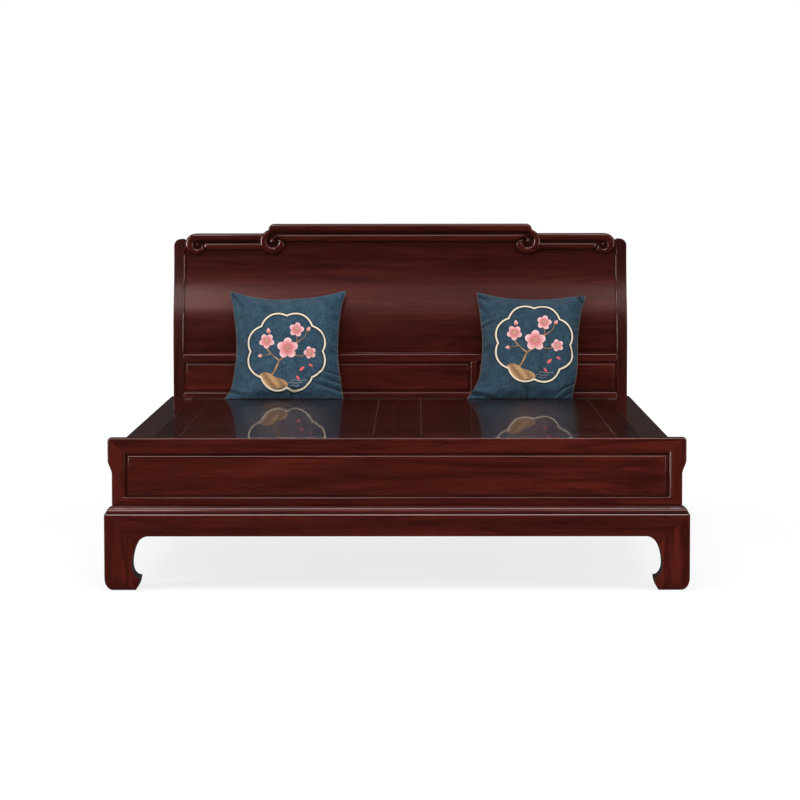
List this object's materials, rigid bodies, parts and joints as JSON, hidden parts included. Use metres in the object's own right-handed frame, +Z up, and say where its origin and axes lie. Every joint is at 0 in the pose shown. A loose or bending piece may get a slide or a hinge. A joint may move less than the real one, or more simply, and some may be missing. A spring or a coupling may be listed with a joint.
{
  "type": "double bed",
  "caption": "Double bed in dark rosewood with a leaning scroll-crested headboard, a framed footboard on horse-hoof legs, flush deck halves and loose cushions.",
  "frame": {"origin": "middle of the bounding box, at the floor", "axes": "+X to the right as seen from the foot end, +Y towards the headboard, +Z up"},
  "size_m": [2.015, 2.227, 1.229],
  "materials": {
    "rosewood": "polished lacquer",
    "rosewood_field": "polished lacquer",
    "inner_wood": "oiled",
    "bracket_steel": "zinc plated",
    "cushion_cloth": "slub linen"
  },
  "bodies": {
    "bed_frame": {"apron": "rosewood", "bearer_1": "inner_wood", "bearer_2": "inner_wood", "bearer_3": "inner_wood", "bearer_4": "inner_wood", "bracket_foot_left": "bracket_steel", "bracket_foot_right": "bracket_steel", "bracket_head_left": "bracket_steel", "bracket_head_right": "bracket_steel", "crest_centre": "rosewood", "crest_left": "rosewood", "crest_right": "rosewood", "foot_bottom_rail": "rosewood", "foot_ledger": "inner_wood", "foot_panel": "rosewood_field", "foot_post_left": "inner_wood", "foot_post_right": "inner_wood", "foot_stile_left": "rosewood", "foot_stile_right": "rosewood", "foot_top_rail": "rosewood", "head_base_rail": "rosewood", "head_batten_left": "inner_wood", "head_batten_right": "inner_wood", "head_ledger": "inner_wood", "head_mid_rail": "rosewood", "head_muntin_left": "rosewood", "head_muntin_right": "rosewood", "head_panel_centre": "rosewood_field", "head_panel_left": "rosewood_field", "head_panel_main": "rosewood_field", "head_panel_right": "rosewood_field", "head_post_left": "rosewood", "head_post_right": "rosewood", "leg_left": "rosewood", "leg_right": "rosewood", "rail_ledger_left": "inner_wood", "rail_ledger_right": "inner_wood", "rail_side_left": "rosewood_field", "rail_side_right": "rosewood_field", "rail_top_left": "rosewood", "rail_top_right": "rosewood", "waist_moulding": "rosewood"},
    "deck_left": {"deck_left_batten_1": "inner_wood", "deck_left_batten_2": "inner_wood", "deck_left_field": "rosewood_field", "deck_left_foot_rail": "rosewood", "deck_left_head_rail": "rosewood", "deck_left_inner_stile": "rosewood", "deck_left_outer_stile": "rosewood"},
    "deck_right": {"deck_right_batten_1": "inner_wood", "deck_right_batten_2": "inner_wood", "deck_right_field": "rosewood_field", "deck_right_foot_rail": "rosewood", "deck_right_head_rail": "rosewood", "deck_right_inner_stile": "rosewood", "deck_right_outer_stile": "rosewood"},
    "cushion_left": {"cushion_left": "cushion_cloth"},
    "cushion_right": {"cushion_right": "cushion_cloth"}
  },
  "joints": [
    {"name": "deck_left_lift", "type": "slide", "parent": "bed_frame", "child": "deck_left", "axis": [0, 0, 1], "range_m": [0, 0.3]},
    {"name": "deck_right_lift", "type": "slide", "parent": "bed_frame", "child": "deck_right", "axis": [0, 0, 1], "range_m": [0, 0.3]},
    {"name": "cushion_left_lift", "type": "slide", "parent": "deck_left", "child": "cushion_left", "axis": [0, 0, 1], "range_m": [0, 0.35]},
    {"name": "cushion_right_lift", "type": "slide", "parent": "deck_right", "child": "cushion_right", "axis": [0, 0, 1], "range_m": [0, 0.35]}
  ]
}
